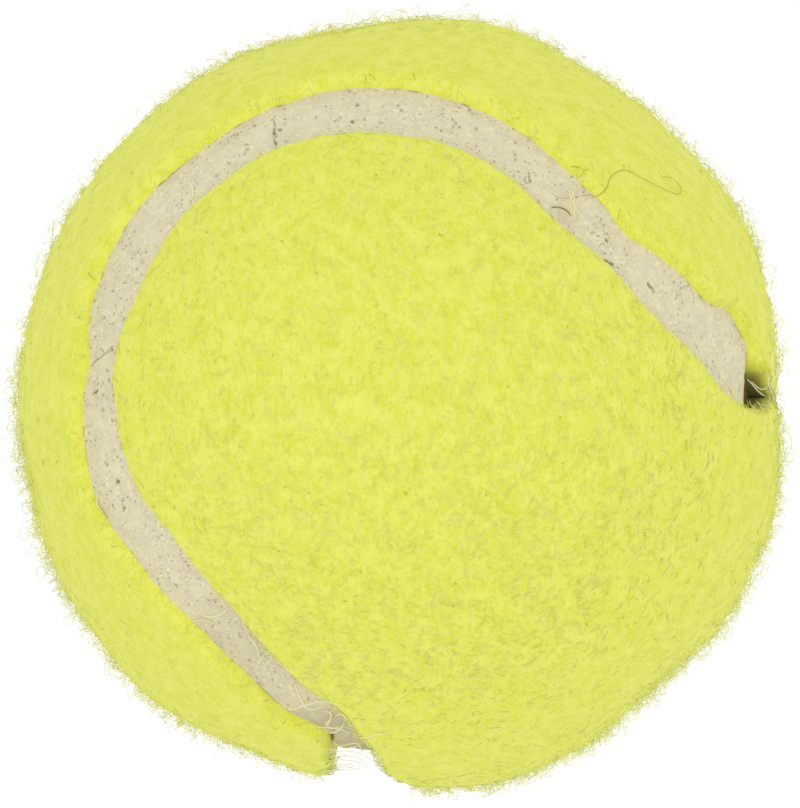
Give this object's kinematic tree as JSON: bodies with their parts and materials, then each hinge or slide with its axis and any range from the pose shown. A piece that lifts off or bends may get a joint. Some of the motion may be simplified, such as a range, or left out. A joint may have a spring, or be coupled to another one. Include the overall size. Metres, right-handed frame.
{
  "type": "tennis ball",
  "caption": "Hollow rubber ball covered with optic yellow napped felt, in dumbbell-shaped panels with a recessed pale seam between them.",
  "frame": {"origin": "centre of the ball", "axes": "+Z and -Z are the middles of the first felt panel's two lobes, +X is the middle of its waist; +Y and -Y are the middles of the second panel's lobes and -X is the middle of its waist"},
  "size_m": [0.067, 0.067, 0.067],
  "materials": {
    "core_rubber": "matt moulded rubber",
    "cement": "dull cured rubber cement",
    "felt": "napped wool and nylon felt, matted and curly",
    "seam_rubber": "matt cured rubber, slightly pitted"
  },
  "bodies": {
    "root": {"core_half_upper": "core_rubber", "core_half_lower": "core_rubber", "core_joint": "cement", "core_cement": "cement", "panel_backing_first": "cement", "panel_backing_second": "cement", "felt_panel_first": "felt", "felt_panel_second": "felt", "seam_strip": "seam_rubber"}
  },
  "joints": []
}
